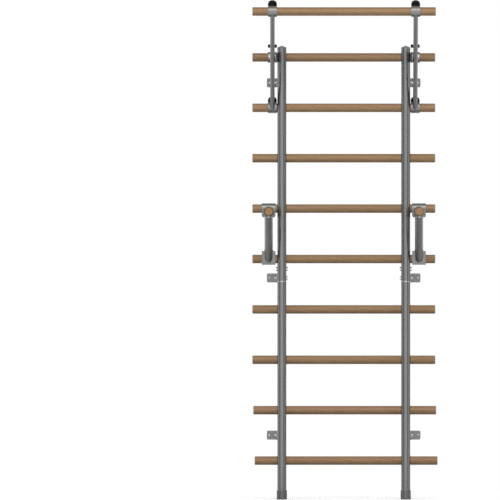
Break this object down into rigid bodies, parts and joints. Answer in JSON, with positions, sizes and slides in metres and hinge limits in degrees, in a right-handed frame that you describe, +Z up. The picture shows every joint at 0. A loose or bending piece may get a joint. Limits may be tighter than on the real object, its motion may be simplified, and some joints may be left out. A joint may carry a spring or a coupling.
{
  "type": "swedish wall bars",
  "caption": "Wall-mounted climbing ladder with round wooden rungs in D-section steel uprights, an angled pull-up bar and hook-on dip bars.",
  "frame": {"origin": "on the wall plane at floor level, midway between the two uprights", "axes": "+Z up, +Y into the wall, so the front faces -Y; +X to the right as seen from the front"},
  "size_m": [0.82, 0.6743, 2.2058],
  "materials": {
    "coated_steel": "satin grey metallic powder coat",
    "zinc": "bright zinc plate",
    "beech": "oiled steamed beech",
    "grey_plastic": "moulded matt grey",
    "black_plastic": "moulded matt black"
  },
  "bodies": {
    "ladder": {"upright_left_lower": "coated_steel", "upright_left_upper": "coated_steel", "upright_right_lower": "coated_steel", "upright_right_upper": "coated_steel", "joint_sleeve_left": "zinc", "joint_sleeve_right": "zinc", "top_cap_left": "grey_plastic", "top_cap_right": "grey_plastic", "foot_cap_left": "grey_plastic", "foot_cap_right": "grey_plastic", "rung_1": "beech", "rung_2": "beech", "rung_3": "beech", "rung_4": "beech", "rung_5": "beech", "rung_6": "beech", "rung_7": "beech", "rung_8": "beech", "rung_9": "beech", "rung_screw_left": "zinc", "rung_screw_right": "zinc", "wall_bracket_left_lower": "coated_steel", "wall_bracket_left_middle": "coated_steel", "wall_bracket_left_upper": "coated_steel", "wall_bracket_right_lower": "coated_steel", "wall_bracket_right_middle": "coated_steel", "wall_bracket_right_upper": "coated_steel", "bracket_bolt_left_lower": "zinc", "bracket_bolt_left_upper": "zinc", "bracket_bolt_right_lower": "zinc", "bracket_bolt_right_upper": "zinc", "joint_bolt_left_lower": "zinc", "joint_bolt_left_upper": "zinc", "joint_bolt_right_lower": "zinc", "joint_bolt_right_upper": "zinc", "joint_nut_left_lower": "zinc", "joint_nut_left_upper": "zinc", "joint_nut_right_lower": "zinc", "joint_nut_right_upper": "zinc", "pull_up_bar": "beech", "pull_up_arm_left": "coated_steel", "pull_up_arm_right": "coated_steel", "pull_up_strut_left": "coated_steel", "pull_up_strut_right": "coated_steel", "strut_bolt_left": "zinc", "strut_bolt_right": "zinc", "strut_nut_left": "zinc", "strut_nut_right": "zinc"},
    "dip_bar_left": {"dip_frame_left": "coated_steel", "dip_grip_left": "beech", "dip_screw_left": "zinc"},
    "dip_bar_right": {"dip_frame_right": "coated_steel", "dip_grip_right": "beech", "dip_screw_right": "zinc"},
    "bar_knob_left": {"bar_knob_left": "black_plastic"},
    "bar_knob_right": {"bar_knob_right": "black_plastic"},
    "arm_knob_left": {"arm_knob_left": "black_plastic"},
    "arm_knob_right": {"arm_knob_right": "black_plastic"},
    "strut_knob_left": {"strut_knob_left": "black_plastic"},
    "strut_knob_right": {"strut_knob_right": "black_plastic"}
  },
  "joints": [
    {"name": "dip_swing_left", "type": "hinge", "parent": "ladder", "child": "dip_bar_left", "pos_m": [-0.3325, -0.145, 1.287], "axis": [-1, 0, 0], "range_deg": [0, 75]},
    {"name": "dip_swing_right", "type": "hinge", "parent": "ladder", "child": "dip_bar_right", "pos_m": [0.3325, -0.145, 1.287], "axis": [-1, 0, 0], "range_deg": [0, 75]},
    {"name": "bar_knob_turn_left", "type": "hinge", "parent": "ladder", "child": "bar_knob_left", "pos_m": [-0.316, -0.49389, 2.15559], "axis": [0, 0.7711, 0.6367], "continuous": true},
    {"name": "bar_knob_turn_right", "type": "hinge", "parent": "ladder", "child": "bar_knob_right", "pos_m": [0.316, -0.49389, 2.15559], "axis": [0, 0.7711, 0.6367], "continuous": true},
    {"name": "arm_knob_turn_left", "type": "hinge", "parent": "ladder", "child": "arm_knob_left", "pos_m": [-0.316, -0.145, 1.733], "axis": [0, 0.7711, 0.6367], "continuous": true},
    {"name": "arm_knob_turn_right", "type": "hinge", "parent": "ladder", "child": "arm_knob_right", "pos_m": [0.316, -0.145, 1.733], "axis": [0, 0.7711, 0.6367], "continuous": true},
    {"name": "strut_knob_turn_left", "type": "hinge", "parent": "ladder", "child": "strut_knob_left", "pos_m": [-0.316, -0.145, 1.956], "axis": [0, 0, 1], "continuous": true},
    {"name": "strut_knob_turn_right", "type": "hinge", "parent": "ladder", "child": "strut_knob_right", "pos_m": [0.316, -0.145, 1.956], "axis": [0, 0, 1], "continuous": true}
  ]
}
